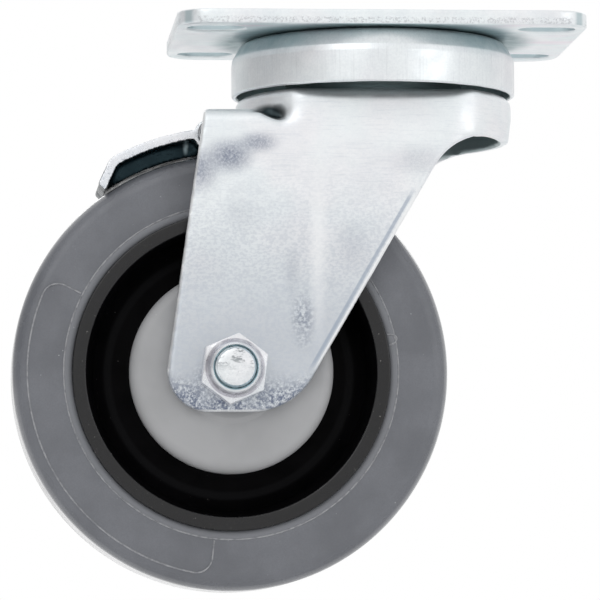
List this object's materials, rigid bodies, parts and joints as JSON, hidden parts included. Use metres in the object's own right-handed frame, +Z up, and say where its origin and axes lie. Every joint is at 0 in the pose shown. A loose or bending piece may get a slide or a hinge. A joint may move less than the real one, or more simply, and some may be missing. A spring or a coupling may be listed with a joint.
{
  "type": "swivel caster",
  "caption": "Swivel plate caster with a slotted mounting plate, pressed fork, soft grey tyre on a black wheel and a tread brake pedal.",
  "frame": {"origin": "on the swivel axis, in the mounting plate's top face", "axes": "+Z up out of the mounting plate along the swivel axis, +X towards the end the wheel trails away from, +Y along the axle towards the bolt head"},
  "size_m": [0.1331, 0.0673, 0.1333],
  "materials": {
    "plate_zinc": "bright zinc plating, satin",
    "cup_zinc": "bright zinc plating over drawn steel",
    "fork_zinc": "mottled bright zinc plating",
    "fastener_zinc": "bright zinc plating",
    "pedal_zinc": "bright zinc plating",
    "bearing_steel": "ground and polished",
    "spring_steel": "oiled drawn wire",
    "tyre_rubber": "matt moulded",
    "core_plastic": "gloss moulded",
    "guard_plastic": "matt moulded"
  },
  "bodies": {
    "swivel_head": {"top_plate": "plate_zinc", "raceway_cup": "cup_zinc", "kingpin": "fastener_zinc", "lower_race": "fastener_zinc"},
    "upper_ball_ring": {"upper_ball_1": "bearing_steel", "upper_ball_2": "bearing_steel", "upper_ball_3": "bearing_steel", "upper_ball_4": "bearing_steel", "upper_ball_5": "bearing_steel", "upper_ball_6": "bearing_steel", "upper_ball_7": "bearing_steel", "upper_ball_8": "bearing_steel", "upper_ball_9": "bearing_steel", "upper_ball_10": "bearing_steel", "upper_ball_11": "bearing_steel", "upper_ball_12": "bearing_steel", "upper_ball_13": "bearing_steel", "upper_ball_14": "bearing_steel", "upper_ball_15": "bearing_steel", "upper_ball_16": "bearing_steel"},
    "lower_ball_ring": {"lower_ball_1": "bearing_steel", "lower_ball_2": "bearing_steel", "lower_ball_3": "bearing_steel", "lower_ball_4": "bearing_steel", "lower_ball_5": "bearing_steel", "lower_ball_6": "bearing_steel", "lower_ball_7": "bearing_steel", "lower_ball_8": "bearing_steel", "lower_ball_9": "bearing_steel", "lower_ball_10": "bearing_steel", "lower_ball_11": "bearing_steel", "lower_ball_12": "bearing_steel"},
    "fork": {"fork": "fork_zinc", "brake_pin": "fastener_zinc", "brake_spring": "spring_steel", "axle_bolt": "fastener_zinc", "axle_nut": "fastener_zinc", "spanner_bushing": "fastener_zinc", "near_bearing_inner_ring": "bearing_steel", "far_bearing_inner_ring": "bearing_steel"},
    "wheel": {"wheel_core": "core_plastic", "tyre": "tyre_rubber", "near_thread_guard": "guard_plastic", "far_thread_guard": "guard_plastic", "near_bearing_outer_ring": "bearing_steel", "far_bearing_outer_ring": "bearing_steel"},
    "near_ball_cage": {"near_bearing_ball_cage": "bearing_steel"},
    "far_ball_cage": {"far_bearing_ball_cage": "bearing_steel"},
    "brake_pedal": {"brake_pedal": "pedal_zinc"}
  },
  "joints": [
    {"name": "swivel", "type": "hinge", "parent": "swivel_head", "child": "fork", "pos_m": [0, 0, -0.012], "axis": [0, 0, 1], "continuous": true},
    {"name": "upper_ball_orbit", "type": "hinge", "parent": "swivel_head", "child": "upper_ball_ring", "pos_m": [0, 0, -0.0086], "axis": [0, 0, 1], "continuous": true},
    {"name": "lower_ball_orbit", "type": "hinge", "parent": "swivel_head", "child": "lower_ball_ring", "pos_m": [0, 0, -0.0163], "axis": [0, 0, 1], "continuous": true},
    {"name": "wheel_spin", "type": "hinge", "parent": "fork", "child": "wheel", "pos_m": [-0.0347, 0, -0.08255], "axis": [0, 1, 0], "continuous": true},
    {"name": "near_cage_orbit", "type": "hinge", "parent": "fork", "child": "near_ball_cage", "pos_m": [-0.0347, 0, -0.08255], "axis": [0, 1, 0], "continuous": true},
    {"name": "far_cage_orbit", "type": "hinge", "parent": "fork", "child": "far_ball_cage", "pos_m": [-0.0347, 0, -0.08255], "axis": [0, 1, 0], "continuous": true},
    {"name": "brake_lift", "type": "hinge", "parent": "fork", "child": "brake_pedal", "pos_m": [-0.0395, 0, -0.0271], "axis": [0, 1, 0], "range_deg": [-1, 14]}
  ],
  "couplings": [
    {"joint": "upper_ball_orbit", "follows": "swivel", "ratio": 0.5},
    {"joint": "lower_ball_orbit", "follows": "swivel", "ratio": 0.5},
    {"joint": "near_cage_orbit", "follows": "wheel_spin", "ratio": 0.5896},
    {"joint": "far_cage_orbit", "follows": "wheel_spin", "ratio": 0.5896}
  ]
}
